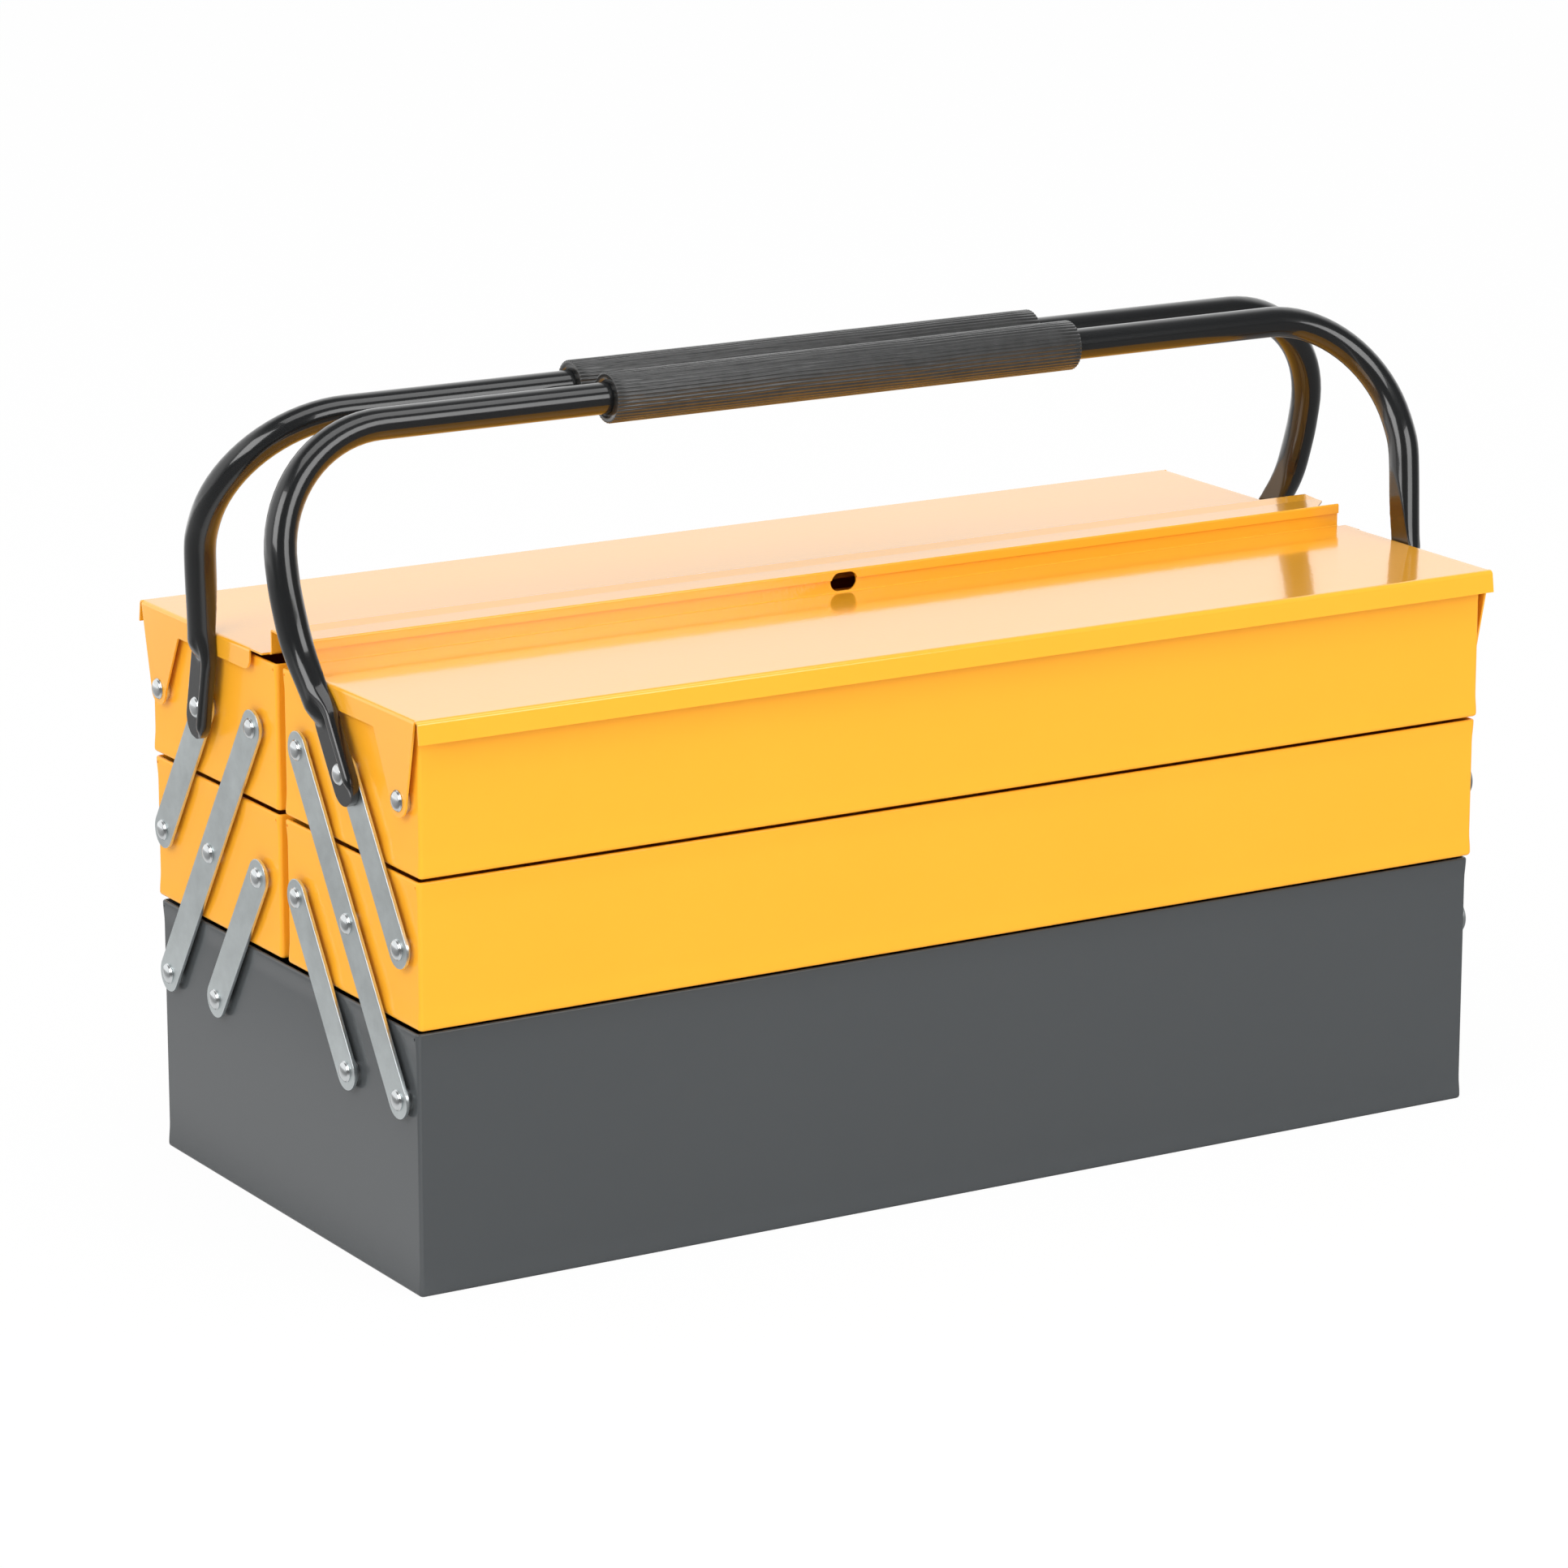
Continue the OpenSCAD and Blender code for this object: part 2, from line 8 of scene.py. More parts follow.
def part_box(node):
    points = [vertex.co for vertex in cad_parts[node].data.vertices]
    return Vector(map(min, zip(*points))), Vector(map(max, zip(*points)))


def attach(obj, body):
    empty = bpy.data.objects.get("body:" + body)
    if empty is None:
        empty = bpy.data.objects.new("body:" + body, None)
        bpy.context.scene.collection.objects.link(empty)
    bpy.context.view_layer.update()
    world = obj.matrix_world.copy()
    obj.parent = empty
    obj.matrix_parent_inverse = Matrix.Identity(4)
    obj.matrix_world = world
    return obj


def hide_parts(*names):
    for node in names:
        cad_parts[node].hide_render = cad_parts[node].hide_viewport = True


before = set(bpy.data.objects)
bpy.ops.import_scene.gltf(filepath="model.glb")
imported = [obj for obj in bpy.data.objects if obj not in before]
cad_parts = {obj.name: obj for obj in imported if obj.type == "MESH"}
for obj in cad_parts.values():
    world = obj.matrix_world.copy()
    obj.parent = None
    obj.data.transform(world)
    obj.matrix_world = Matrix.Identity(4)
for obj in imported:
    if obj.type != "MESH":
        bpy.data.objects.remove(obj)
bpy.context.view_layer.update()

# Base and trays.
# Five open boxes folded from 0.8 mm sheet steel, one deep base and four trays. The walls are
# drawn in a little between the floor folds and the hemmed rims. The base is grey enamel, the
# trays are powder coated in amber.
MM = 0.001
SHEET = 0.8 * MM
BOX_CORNER = 2 * MM
FLOOR_BEND = 1.5 * MM
WAIST = 0.5 * MM
WAIST_FOOT = 1.6 * MM
WAIST_RUN = 8.5 * MM
RIM_RADIUS = 0.85 * MM
RIM_STEPS = 6
HEM_DEPTH = 8 * MM
RELIEF_HOLE = 1 * MM
RELIEF_INSET = 2.4 * MM
RELIEF_DEPTH = 0.6 * MM
RELIEF_SKIN = 0.7 * MM
SKIN_DEPTH = 0.05 * MM
MERGE = 0.001 * MM
CUT = 0.0001 * MM


def new_finish(name):
    finish = bpy.data.materials.new(name)
    finish.use_nodes = True
    return finish, finish.node_tree, finish.node_tree.nodes["Principled BSDF"]


def speckle(tree, scale, detail, roughness=0.5):
    """Cloudy pattern over a piece, as a value from 0 to 1."""
    place = tree.nodes.new("ShaderNodeTexCoord")
    noise = tree.nodes.new("ShaderNodeTexNoise")
    noise.inputs["Scale"].default_value = scale
    noise.inputs["Detail"].default_value = detail
    noise.inputs["Roughness"].default_value = roughness
    tree.links.new(place.outputs["Object"], noise.inputs["Vector"])
    return noise.outputs["Fac"]


def tinted(tree, shader, pattern, dark, light, first=0, last=1):
    """Colours a finish from dark to light where its pattern runs from first to last."""
    ramp = tree.nodes.new("ShaderNodeValToRGB")
    stops = ramp.color_ramp.elements
    stops[0].position, stops[1].position = first, last
    stops[0].color, stops[1].color = (*dark, 1), (*light, 1)
    tree.links.new(pattern, ramp.inputs["Fac"])
    tree.links.new(ramp.outputs["Color"], shader.inputs["Base Color"])


def uneven_gloss(tree, shader, pattern, roughness, spread):
    gloss = tree.nodes.new("ShaderNodeMapRange")
    gloss.inputs["To Min"].default_value = roughness - spread
    gloss.inputs["To Max"].default_value = roughness + spread
    tree.links.new(pattern, gloss.inputs["Value"])
    tree.links.new(gloss.outputs["Result"], shader.inputs["Roughness"])


def uneven_skin(tree, shader, pattern, strength, layers=("Normal",)):
    bump = tree.nodes.new("ShaderNodeBump")
    bump.inputs["Strength"].default_value = strength
    bump.inputs["Distance"].default_value = SKIN_DEPTH
    tree.links.new(pattern, bump.inputs["Height"])
    for layer in layers:
        tree.links.new(bump.outputs["Normal"], shader.inputs[layer])


def enamel(name, colour, roughness, specular, coat, coat_roughness, peel, peel_scale=700):
    """Sprayed and baked paint with a faint orange peel."""
    paint, tree, shader = new_finish(name)
    shader.inputs["Specular IOR Level"].default_value = specular
    shader.inputs["Coat Weight"].default_value = coat
    shader.inputs["Coat Roughness"].default_value = coat_roughness
    cloud = speckle(tree, scale=14, detail=3)
    tinted(tree, shader, cloud, [c * 0.96 for c in colour], colour)
    uneven_gloss(tree, shader, cloud, roughness, 0.03)
    skin = speckle(tree, scale=peel_scale, detail=1)
    uneven_skin(tree, shader, skin, peel, ("Normal", "Coat Normal"))
    return paint


def finish_piece(name, bm, material, body, slot, *nodes, edge=0.15 * MM, angle=35, sheet=0):
    """Puts a mesh on its body with its material, its sheet thickness and softly rounded edges."""
    bmesh.ops.remove_doubles(bm, verts=bm.verts, dist=MERGE)
    for face in bm.faces:
        face.smooth = True
    mesh = bpy.data.meshes.new(name)
    bm.to_mesh(mesh)
    bm.free()
    mesh.materials.append(material)
    piece = bpy.data.objects.new(name, mesh)
    bpy.context.scene.collection.objects.link(piece)
    if sheet:
        gauge = piece.modifiers.new("sheet gauge", "SOLIDIFY")
        gauge.thickness = sheet
        gauge.offset = 0
        gauge.use_even_offset = True
    if edge:
        rounding = piece.modifiers.new("rounded edges", "BEVEL")
        rounding.width = edge
        rounding.segments = 2
        rounding.limit_method = "ANGLE"
        rounding.angle_limit = radians(angle)
        rounding.use_clamp_overlap = True
        rounding.harden_normals = False
        piece.modifiers.new("even shading", "WEIGHTED_NORMAL").keep_sharp = True
    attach(piece, body)
    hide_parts(*nodes)
    return piece


def cut_outline(bm, faces, sides):
    """Cuts an outline of (point, outward direction) sides into flat faces and returns its inside."""
    for point, outward in sides:
        around = {e for f in faces for e in f.edges} | {v for f in faces for v in f.verts}
        cut = bmesh.ops.bisect_plane(bm, geom=list(faces) + list(around), plane_co=point,
                                     plane_no=outward, dist=CUT)
        faces = [g for g in cut["geom"] if isinstance(g, bmesh.types.BMFace)
                 and (g.calc_center_median() - point).dot(outward) < 0]
    return faces


def cut_across(bm, place, direction):
    """Cuts a plane's line into the whole mesh."""
    bmesh.ops.bisect_plane(bm, geom=bm.verts[:] + bm.edges[:] + bm.faces[:], plane_co=place,
                           plane_no=direction, dist=CUT)


def eased(value, start, end):
    """0 up to the start, 1 from the end on, and a smooth rise between them."""
    t = min(max((value - start) / (end - start), 0), 1)
    return t * t * (3 - 2 * t)


def folded_box(name, node, body, slot, paint):
    low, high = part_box(node)
    bm = bmesh.new()
    bmesh.ops.create_cube(bm, size=1)
    bmesh.ops.scale(bm, vec=high - low, verts=bm.verts)
    bmesh.ops.translate(bm, vec=(low + high) / 2, verts=bm.verts)
    bmesh.ops.delete(bm, geom=[f for f in bm.faces if f.normal.z > 0.5], context="FACES_ONLY")
    uprights = [e for e in bm.edges if abs(e.verts[0].co.z - e.verts[1].co.z) > MM]
    bmesh.ops.bevel(bm, geom=uprights, offset=BOX_CORNER, segments=6, profile=0.5, affect="EDGES",
                    material=-1)
    foot = [e for e in bm.edges if all(v.co.z < low.z + MM for v in e.verts) and len(e.link_faces) == 2]
    bmesh.ops.bevel(bm, geom=foot, offset=FLOOR_BEND, segments=5, profile=0.5, affect="EDGES",
                    material=-1)

    # The walls end where the rim starts to roll. Rows near their foot and head let the waist run in
    for v in bm.verts:
        if v.co.z > high.z - MM:
            v.co.z = high.z - RIM_RADIUS
    rows = [r * MM for r in (1.2, 2.6, 4.5, 6.5, 9)]
    for z in [low.z + FLOOR_BEND + r for r in rows] + [high.z - MM - r for r in rows]:
        cut_across(bm, (0, 0, z), (0, 0, 1))
    bm.normal_update()
    outward = {v: Vector((v.normal.x, v.normal.y, 0)).normalized() for v in bm.verts}
    waist_head = high.z - RIM_RADIUS - 0.2 * MM
    for v, out in outward.items():
        v.co -= out * WAIST * eased(min(v.co.z - low.z - WAIST_FOOT, waist_head - v.co.z), 0, WAIST_RUN)

    # Rim rolled inwards and carried down as a hem
    rim = [e for e in bm.edges if e.is_boundary]
    for i in range(RIM_STEPS + 1):
        below = {v for e in rim for v in e.verts}
        made = bmesh.ops.extrude_edge_only(bm, edges=rim)["geom"]
        for new in [g for g in made if isinstance(g, bmesh.types.BMVert)]:
            old = next(e.other_vert(new) for e in new.link_edges if e.other_vert(new) in below)
            outward[new] = outward[old]
            if i < RIM_STEPS:
                before, after = pi * i / RIM_STEPS, pi * (i + 1) / RIM_STEPS
                new.co += outward[new] * RIM_RADIUS * (cos(after) - cos(before))
                new.co.z += RIM_RADIUS * (sin(after) - sin(before))
            else:
                new.co.z -= HEM_DEPTH - RIM_RADIUS
        rim = [g for g in made if isinstance(g, bmesh.types.BMEdge) and all(v in outward for v in g.verts)
               and g.is_boundary]

    bmesh.ops.recalc_face_normals(bm, faces=bm.faces)
    bmesh.ops.solidify(bm, geom=bm.faces[:], thickness=SHEET)

    # Small relief hole near each upper corner of the end walls, sunk into their outer skin
    bm.normal_update()
    for end in (-1, 1):
        for wall_y, inward in ((low.y, 1), (high.y, -1)):
            centre = Vector((end * high.x, wall_y + inward * RELIEF_INSET, high.z - RELIEF_INSET))
            wall = [f for f in bm.faces
                    if f.normal.x * end > 0.9 and f.calc_center_median().x * end > high.x - RELIEF_SKIN
                    and min(v.co.z for v in f.verts) < centre.z + RELIEF_DEPTH
                    and max(v.co.z for v in f.verts) > centre.z - RELIEF_DEPTH
                    and min(v.co.y for v in f.verts) < centre.y < max(v.co.y for v in f.verts)]
            ways = [Vector((0, cos(a), sin(a))) for a in [2 * pi * i / 10 for i in range(10)]]
            spot = cut_outline(bm, wall, [(centre + way * RELIEF_HOLE / 2, way) for way in ways])
            made = bmesh.ops.extrude_face_region(bm, geom=spot)["geom"]
            bmesh.ops.translate(bm, vec=(-end * RELIEF_DEPTH, 0, 0),
                                verts=[g for g in made if isinstance(g, bmesh.types.BMVert)])
            bmesh.ops.delete(bm, geom=spot, context="FACES_ONLY")
    return finish_piece(name, bm, paint, body, slot, node, edge=0.12 * MM, angle=50)


grey = enamel("grey enamel", (0.072, 0.078, 0.082), roughness=0.24, specular=0.3,
              coat=0.3, coat_roughness=0.1, peel=0.35)
amber = enamel("amber powder coat", (1.0, 0.44, 0.024), roughness=0.3, specular=0.25,
               coat=0.4, coat_roughness=0.06, peel=0.5)
folded_box("base_folded_box", "base_tray", "base", "base_paint", grey)
for half in ("front", "rear"):
    for tray in ("lower", "upper"):
        node = f"{half}_{tray}_tray"
        folded_box(f"{half}_{tray}_folded_box", node, node, "tray_paint", amber)

# Links.
# Flat bars of zinc plated strip with round ends, three for each end of each half, that swing the
# trays out and up. They are punched, so their edges are bright and slightly broken.
LINK_WIDTH = 15 * MM


def zinc_plate(name, colour, roughness):
    """Bright zinc with faint cloudy patches."""
    zinc, tree, shader = new_finish(name)
    shader.inputs["Metallic"].default_value = 1
    cloud = speckle(tree, scale=90, detail=6, roughness=0.65)
    tinted(tree, shader, cloud, [c * 0.86 for c in colour], colour, 0.3, 0.7)
    uneven_gloss(tree, shader, cloud, roughness, 0.06)
    uneven_skin(tree, shader, cloud, 0.12)
    return zinc


def link_ends(node):
    """Lower and upper pivot of a link. The front links lean back and the rear ones forward."""
    low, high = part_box(node)
    radius = LINK_WIDTH / 2
    front, back = low.y + radius, high.y - radius
    foot, head = (front, back) if "front" in node else (back, front)
    return Vector((0, foot, low.z + radius)), Vector((0, head, high.z - radius))


def link(name, node, body):
    low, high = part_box(node)
    first, last = link_ends(node)
    foot = Vector((low.x, first.y, first.z))
    bm = bmesh.new()
    bmesh.ops.create_circle(bm, cap_ends=True, segments=64, radius=LINK_WIDTH / 2,
                            matrix=Matrix.Translation(foot) @ Matrix.Rotation(pi / 2, 4, "Y"))
    far_half = [v for v in bm.verts if (v.co - foot).dot(last - first) > 0]
    bmesh.ops.translate(bm, vec=last - first, verts=far_half)
    made = bmesh.ops.extrude_face_region(bm, geom=bm.faces[:])["geom"]
    bmesh.ops.translate(bm, vec=(high.x - low.x, 0, 0),
                        verts=[g for g in made if isinstance(g, bmesh.types.BMVert)])
    bmesh.ops.recalc_face_normals(bm, faces=bm.faces)
    return finish_piece(name, bm, link_zinc, body, "link_zinc", node, edge=0.25 * MM)


link_zinc = zinc_plate("zinc plated strip", (0.84, 0.9, 0.905), 0.33)
for half in ("front", "rear"):
    for end in ("left", "right"):
        for kind, body in (("long", "long_links"), ("short", "short_links"), ("handle", "handle")):
            link(f"{half}_{end}_{kind}_strip", f"{half}_{end}_{kind}_link", f"{half}_{body}")

# Rivets and washers.
# A zinc plated truss-head rivet goes through each pivot and is closed inside the wall. A plain
# washer keeps the link or the lid's ear off the wall.
RIVET_HEAD = 8.4 * MM
RIVET_DOME = 2 * MM
HEAD_EDGE = 0.35 * MM
DOME_FOOT = 0.45 * MM
DOME_INSET = 0.25 * MM
SHANK = 4 * MM
TAIL = 6.6 * MM
TAIL_DEPTH = 1.2 * MM
TAIL_CHAMFER = (0.3 * MM, 0.4 * MM)
TURN_STEPS = 40
DOME_STEPS = 7
WASHER = 1.4 * MM
WASHER_WIDTH = 10 * MM
WASHER_BORE = 4.2 * MM
PRESSED_FLAT = 3 * MM
PLAY = 0.05 * MM


def turned(profile, centre, bm):
    """Spins a (distance along X, radius) profile round a pivot."""
    point = bm.verts.new(centre + Vector((profile[0][0], 0, profile[0][1])))
    line = [point]
    for along, radius in profile[1:]:
        point = bmesh.ops.extrude_vert_indiv(bm, verts=[point])["verts"][0]
        point.co = centre + Vector((along, 0, radius))
        line.append(point)
    edges = [e for e in bm.edges if e.is_wire and e.verts[0] in line and e.verts[1] in line]
    bmesh.ops.spin(bm, geom=line + edges, cent=centre, axis=(1, 0, 0), dvec=(0, 0, 0), angle=2 * pi,
                   steps=TURN_STEPS, use_merge=True, use_duplicate=False)


def rivets(name, node, body, spots, head_faces):
    """A rivet for each (y, z) spot at both ends. A head face is where the head starts along X."""
    bm = bmesh.new()
    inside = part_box("base_tray")[1].x - SHEET - PLAY
    tail_face = inside - TAIL_DEPTH
    tail = [(tail_face, 0), (tail_face, TAIL / 2 - TAIL_CHAMFER[1]),
            (tail_face + TAIL_CHAMFER[0], TAIL / 2), (inside, TAIL / 2), (inside, SHANK / 2)]
    for (y, z), face in zip(spots, head_faces):
        foot, rise = face + DOME_FOOT, RIVET_DOME - DOME_FOOT
        dome = [(foot + rise * sin(a), (RIVET_HEAD / 2 - DOME_INSET) * cos(a))
                for a in [pi / 2 * i / DOME_STEPS for i in range(DOME_STEPS)]]
        head = [(face, SHANK / 2), (face, RIVET_HEAD / 2), (face + HEAD_EDGE, RIVET_HEAD / 2)] + dome
        for end in (-1, 1):
            profile = [(end * a, r) for a, r in tail + head + [(face + RIVET_DOME, 0)]]
            turned(profile, Vector((0, y, z)), bm)
    bmesh.ops.remove_doubles(bm, verts=bm.verts, dist=MERGE)
    bmesh.ops.recalc_face_normals(bm, faces=bm.faces)
    return finish_piece(name, bm, rivet_zinc, body, "rivet_zinc", node, edge=0)


def washers(name, node, body, spots, thickness):
    """A washer behind each link or ear. It reaches into the waist of the wall."""
    bm = bmesh.new()
    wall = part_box("base_tray")[1].x
    inner, outer = wall - WAIST, wall + thickness
    ring = [(inner, WASHER_BORE / 2), (inner, WASHER_WIDTH / 2), (outer, WASHER_WIDTH / 2),
            (outer, WASHER_BORE / 2), (inner, WASHER_BORE / 2)]
    for y, z in spots:
        for end in (-1, 1):
            turned([(end * a, r) for a, r in ring], Vector((0, y, z)), bm)
    bmesh.ops.remove_doubles(bm, verts=bm.verts, dist=MERGE)
    bmesh.ops.recalc_face_normals(bm, faces=bm.faces)
    return finish_piece(name, bm, washer_zinc, body, "washer_zinc", node, edge=0.1 * MM)


rivet_zinc = zinc_plate("zinc plated rivet", (0.85, 0.88, 0.89), 0.2)
washer_zinc = zinc_plate("zinc plated washer", (0.8, 0.85, 0.87), 0.3)
link_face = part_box("front_right_long_link")[1].x + PLAY
flat_face = link_face + PRESSED_FLAT + PLAY
ear_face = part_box("front_lid")[1].x + PLAY
ear_washer = ear_face - SHEET - 2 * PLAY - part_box("base_tray")[1].x
base_spots = []
for half in ("front", "rear"):
    foot, top = link_ends(f"{half}_right_long_link")
    short_foot, short_top = link_ends(f"{half}_right_short_link")
    handle_foot, handle_top = link_ends(f"{half}_right_handle_link")
    low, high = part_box(f"{half}_lid_rivets")
    hinge = (low + high) / 2
    base_spots += [(foot.y, foot.z), (short_foot.y, short_foot.z)]
    lower = [(p.y, p.z) for p in (handle_foot, (foot + top) / 2, short_top)]
    upper = [(p.y, p.z) for p in (handle_top, top)]
    lid = [(hinge.y, hinge.z)]
    lower_body, upper_body = f"{half}_lower_tray", f"{half}_upper_tray"
    rivets(f"{half}_lower_rivet_heads", f"{half}_lower_tray_rivets", lower_body, lower, [link_face] * 3)
    rivets(f"{half}_upper_rivet_heads", f"{half}_upper_tray_rivets", upper_body, upper,
           [flat_face, link_face])
    rivets(f"{half}_lid_rivet_heads", f"{half}_lid_rivets", upper_body, lid, [ear_face])
    washers(f"{half}_lower_spacers", f"{half}_lower_tray_washers", lower_body, lower, WASHER)
    washers(f"{half}_upper_spacers", f"{half}_upper_tray_washers", upper_body, upper, WASHER)
    washers(f"{half}_lid_spacers", f"{half}_lid_washers", upper_body, lid, ear_washer)
rivets("base_rivet_heads", "base_rivets", "base", base_spots, [link_face] * 4)
washers("base_spacers", "base_washers", "base", base_spots, WASHER)

# Lids.
# Each upper tray has a lid folded from one sheet that turns on two rivets through its ears. The
# front lid's inner edge stands up and is hemmed. The rear lid's edge stands higher and laps over
# it, and both are slotted for a padlock.
LID_FOLD = 1.5 * MM
END_BEND = 1.1 * MM
FLANGE = 9 * MM
FLANGE_FLARE = 1.2 * MM
FLANGE_CORNER = 5 * MM
EAR_RADIUS = 6.5 * MM
EAR_TOP = 33 * MM
EAR_BEND = 1 * MM
HINGE_BORE = 4.1 * MM
UPSTAND = 9.5 * MM
UPSTAND_INSET = 4 * MM
SETBACK = {"front": 15.5 * MM, "rear": 8.5 * MM}
HEM = 4 * MM
HEM_GAP = 0.9 * MM
HEM_BEND = 0.44 * MM
EDGE_BEND = 0.8 * MM
LIP_SLOPE = 9 * MM
LIP_FALL = 0.7 * MM
LIP_GAP = 1.4 * MM
LIP_CHAMFER = 9 * MM
SLOT_LENGTH, SLOT_HEIGHT, SLOT_FOOT = 12.3 * MM, 7.8 * MM, 0.6 * MM
SLOT_SIDES, BORE_SIDES = 20, 16
END_BEND_STEPS = 4
NEAR = 0.01 * MM


def drawn_on(bm, ring, vec):
    """Draws the open end of a tube or a sheet on along a vector and returns its new end."""
    made = bmesh.ops.extrude_edge_only(bm, edges=ring)["geom"]
    verts = [g for g in made if isinstance(g, bmesh.types.BMVert)]
    bmesh.ops.translate(bm, vec=vec, verts=verts)
    return [g for g in made if isinstance(g, bmesh.types.BMEdge) and all(v in verts for v in g.verts)]


def bent_on(bm, ring, centre, axis, angle, steps):
    """Draws the open end of a tube or a sheet on round an axis and returns its new end."""
    made = bmesh.ops.spin(bm, geom=ring, cent=centre, axis=axis, dvec=(0, 0, 0), angle=angle,
                          steps=steps, use_merge=False, use_duplicate=False)["geom_last"]
    return [g for g in made if isinstance(g, bmesh.types.BMEdge)]


def bent_wire(bm, corners):
    """Draws a wire through (place, bend radius) corners and rounds them."""
    points = [bm.verts.new(corners[0][0])]
    for place, radius in corners[1:]:
        point = bmesh.ops.extrude_vert_indiv(bm, verts=[points[-1]])["verts"][0]
        point.co = place
        points.append(point)
    wire = [e for e in bm.edges if e.is_wire and e.verts[0] in points and e.verts[1] in points]
    setbacks = []
    for (before, _), (place, radius), (after, _) in zip(corners, corners[1:], corners[2:]):
        turn = (Vector(place) - Vector(before)).angle(Vector(after) - Vector(place))
        setbacks.append((radius * tan(turn / 2), 2 + int(turn / radians(20))))
    for point, (setback, segments) in zip(points[1:-1], setbacks):
        if setback > 0:
            bmesh.ops.bevel(bm, geom=[point], offset=setback, segments=segments, profile=0.5,
                            affect="VERTICES", material=-1)
    return [e for e in bm.edges if e.is_wire]


def round_outline(centre, along, half_length, radius, sides):
    """Sides of a rounded slot or a round hole in an upright sheet, as (point, outward direction)."""
    rim = []
    for i in range(sides):
        a = 2 * pi * i / sides
        way = along * cos(a) + Vector((0, 0, 1)) * sin(a)
        shift = half_length if cos(a) > 0.01 else -half_length if cos(a) < -0.01 else 0
        rim.append((centre + along * shift + way * radius, way))
    return rim


def ear(bm, hinge, x_ear, top, flange_start, flange_end):
    """Fills in one end flange under its bend, with the ear and its bore, as one flat face."""
    first, last = flange_start - NEAR, flange_end + NEAR
    foot = [v for v in bm.verts if abs(v.co.x - x_ear) < NEAR and abs(v.co.z - top + END_BEND) < NEAR
            and first < v.co.y < last]
    foot.sort(key=lambda v: v.co.y)
    low_edge = top + SHEET / 2 - FLANGE
    front, back, below = hinge.y - EAR_RADIUS, hinge.y + EAR_RADIUS, hinge.z - EAR_RADIUS
    quarter = EAR_RADIUS * 0.999
    outline = [(front, hinge.z, 0), (front, below, quarter), (back, below, quarter), (back, hinge.z, 0),
               (flange_start + EAR_TOP, low_edge, EAR_BEND), (flange_end, low_edge, FLANGE_CORNER)]
    corners = [(Vector((x_ear, y, z)), radius) for y, z, radius in outline]
    wire = bent_wire(bm, [(foot[0].co.copy(), 0)] + corners + [(foot[-1].co.copy(), 0)])
    bmesh.ops.remove_doubles(bm, verts=list({*foot, *(v for e in wire for v in e.verts)}), dist=MERGE)
    loop = [e for e in bm.edges if (e.is_wire or e.is_boundary)
            and all(abs(v.co.x - x_ear) < NEAR and v.co.z < top - END_BEND + NEAR and v.co.y > first
                    for v in e.verts)]
    plate = bmesh.ops.contextual_create(bm, geom=loop)["faces"]
    centre = Vector((x_ear, hinge.y, hinge.z))
    bore = round_outline(centre, Vector((0, 1, 0)), 0, HINGE_BORE / 2, BORE_SIDES)
    bmesh.ops.delete(bm, geom=cut_outline(bm, plate, bore), context="FACES")


